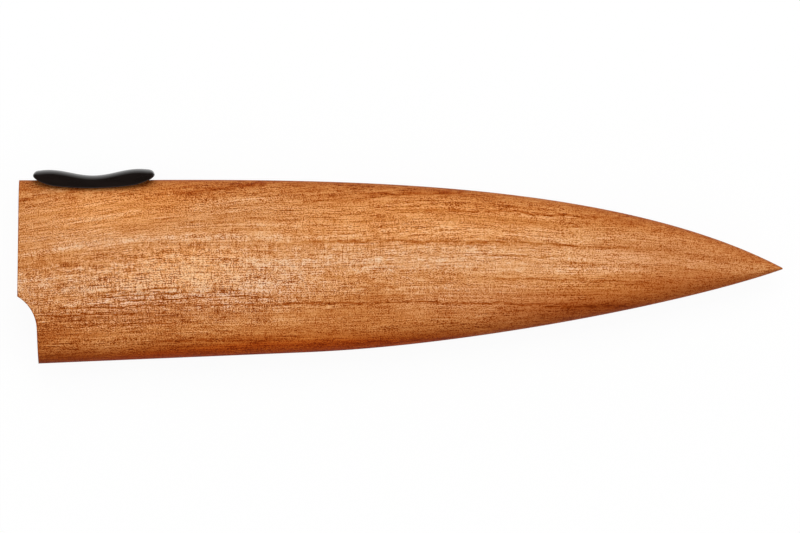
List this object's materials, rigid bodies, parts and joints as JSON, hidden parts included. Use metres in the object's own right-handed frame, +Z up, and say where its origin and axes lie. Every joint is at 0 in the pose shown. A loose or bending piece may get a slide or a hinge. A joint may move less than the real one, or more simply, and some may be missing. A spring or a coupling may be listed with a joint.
{
  "type": "knife blade guard",
  "caption": "Wooden blade guard for a chef's knife: two hollowed halves glued edge to edge, with a sprung rocking lever at the mouth whose pad locks the blade.",
  "frame": {"origin": "middle of the face that the guard rests on: half way from mouth to tip, half the heel's height below the spine line", "axes": "+X along the guard from the mouth to the tip, +Y from the belly to the spine, +Z up through the thickness"},
  "size_m": [0.22, 0.0561, 0.015],
  "materials": {
    "front_wood": "oiled satin, reddish fruitwood, grain along the length",
    "back_wood": "oiled satin, reddish fruitwood, grain along the length",
    "lever_plastic": "satin black moulded plastic",
    "pin_steel": "ground steel pin",
    "pad_rubber": "matt dark rubber",
    "spring_steel": "drawn spring wire"
  },
  "bodies": {
    "guard": {"front_half": "front_wood", "back_half": "back_wood", "pivot_pin": "pin_steel", "return_spring": "spring_steel"},
    "lever": {"lock_lever": "lever_plastic", "brake_pad": "pad_rubber"}
  },
  "joints": [
    {"name": "lever_pivot", "type": "hinge", "parent": "guard", "child": "lever", "pos_m": [-0.0882, 0.0226, 0.0075], "axis": [0, 0, 1], "range_deg": [0, 4], "stiffness_Nm_per_rad": 0.17, "springref_deg": -4.01, "deforming": ["return_spring"]}
  ]
}
